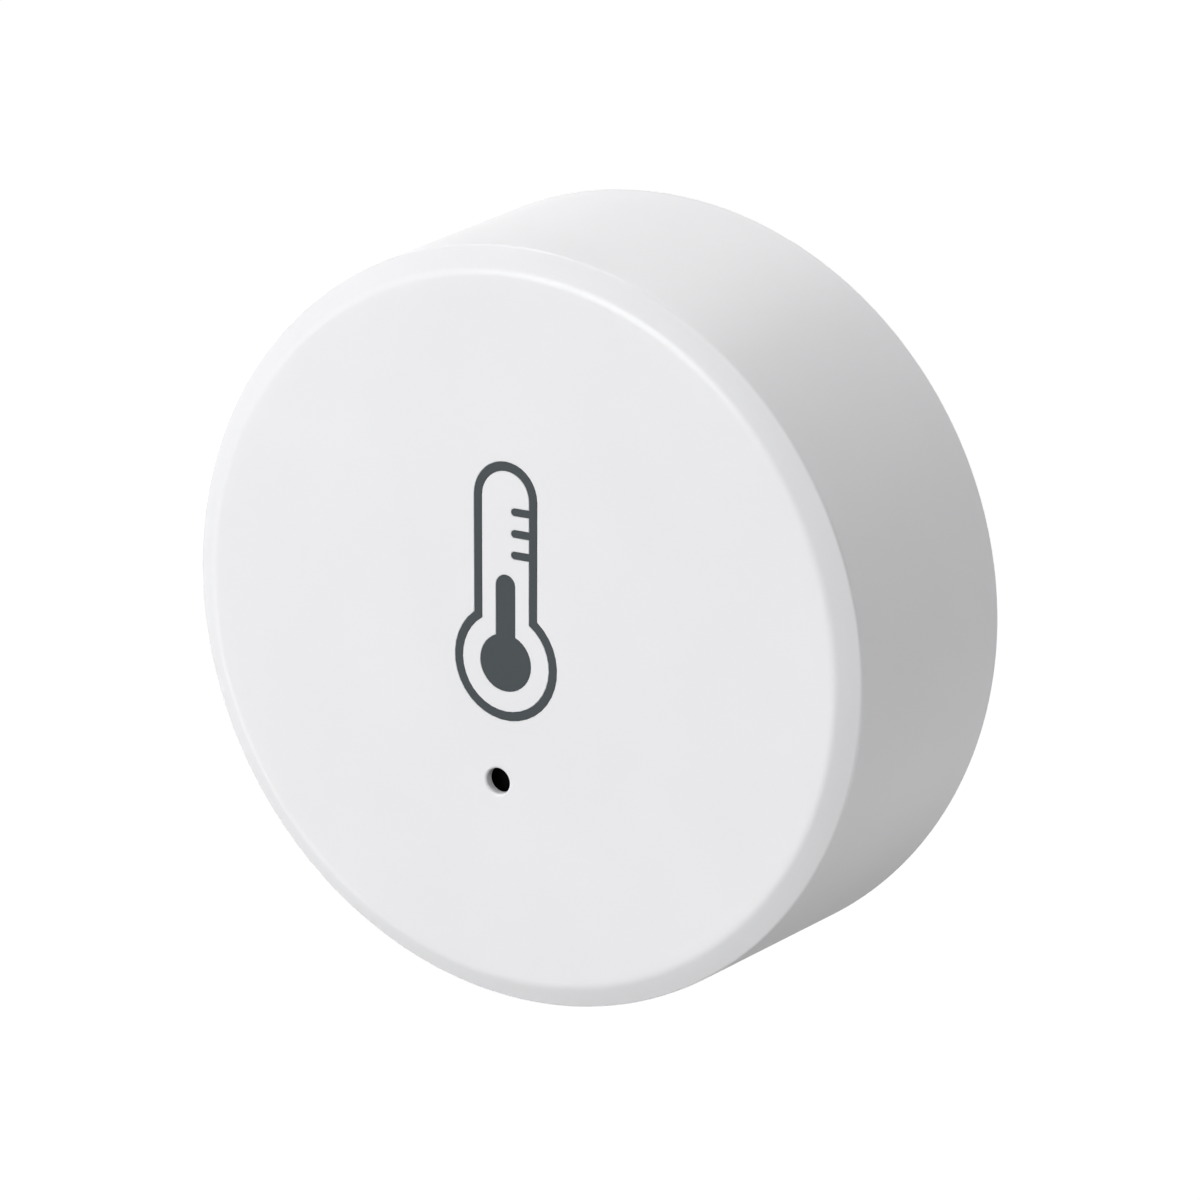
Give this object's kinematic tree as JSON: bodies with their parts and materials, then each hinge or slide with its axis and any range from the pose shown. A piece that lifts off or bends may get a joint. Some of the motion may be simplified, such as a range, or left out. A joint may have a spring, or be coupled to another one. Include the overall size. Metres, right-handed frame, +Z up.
{
  "type": "temperature humidity sensor",
  "caption": "Round white wall sensor: drafted shell with a bevelled face, thermometer symbol and pin hole, turning on a twist-lock rear cover with an adhesive pad.",
  "frame": {"origin": "centre of the adhesive pad's wall face", "axes": "+Y along the body's axis into the wall, so the front face looks along -Y; +Z up, to the top of the symbol; +X to the right as seen from the front"},
  "size_m": [0.042, 0.0145, 0.042],
  "materials": {
    "shell_white": "fine satin moulded white",
    "cover_white": "matte moulded white",
    "foam_pad": "closed-cell foam with adhesive film",
    "symbol_grey": "matte dark grey ink fill",
    "board_green": "satin solder mask",
    "module_green": "satin solder mask",
    "screw_steel": "bright zinc plate",
    "tin_can": "bright tin plate",
    "chip_black": "matte moulded epoxy",
    "ceramic_white": "glazed white ceramic",
    "ceramic_tan": "tan ceramic with tinned ends",
    "ferrite_grey": "dull ferrite",
    "capacitor_yellow": "moulded epoxy",
    "led_cream": "clear cream resin",
    "switch_black": "moulded nylon",
    "plunger_black": "moulded black",
    "holder_black": "moulded black",
    "contact_brass": "gold flash over spring brass",
    "cell_steel": "bright nickel plate",
    "seal_black": "polypropylene",
    "cell_core": "pressed powder and foil"
  },
  "bodies": {
    "wall_base": {"rear_cover": "cover_white", "adhesive_pad": "foam_pad"},
    "sensor_body": {"front_shell": "shell_white", "thermometer_symbol": "symbol_grey", "circuit_board": "board_green", "board_screws": "screw_steel", "sensor_chip": "chip_black", "radio_module": "module_green", "radio_shield": "tin_can", "chip_antenna": "ceramic_white", "crystal": "tin_can", "inductor": "ferrite_grey", "bulk_capacitor": "capacitor_yellow", "capacitors": "ceramic_tan", "resistors": "chip_black", "status_led": "led_cream", "switch_base": "switch_black", "switch_frame": "tin_can", "switch_dome": "screw_steel", "switch_terminals": "tin_can", "cell_holder": "holder_black", "positive_contact": "contact_brass", "negative_contact": "contact_brass", "cell_can": "cell_steel", "cell_cap": "cell_steel", "cell_seal": "seal_black", "cell_core": "cell_core"},
    "reset_button": {"reset_plunger": "plunger_black"}
  },
  "joints": [
    {"name": "body_twist", "type": "hinge", "parent": "wall_base", "child": "sensor_body", "pos_m": [0, 0, 0], "axis": [0, -1, 0], "range_deg": [0, 20]},
    {"name": "reset_press", "type": "slide", "parent": "sensor_body", "child": "reset_button", "axis": [0, 1, 0], "range_m": [0, 0.00025], "stiffness_N_per_m": 6400}
  ]
}
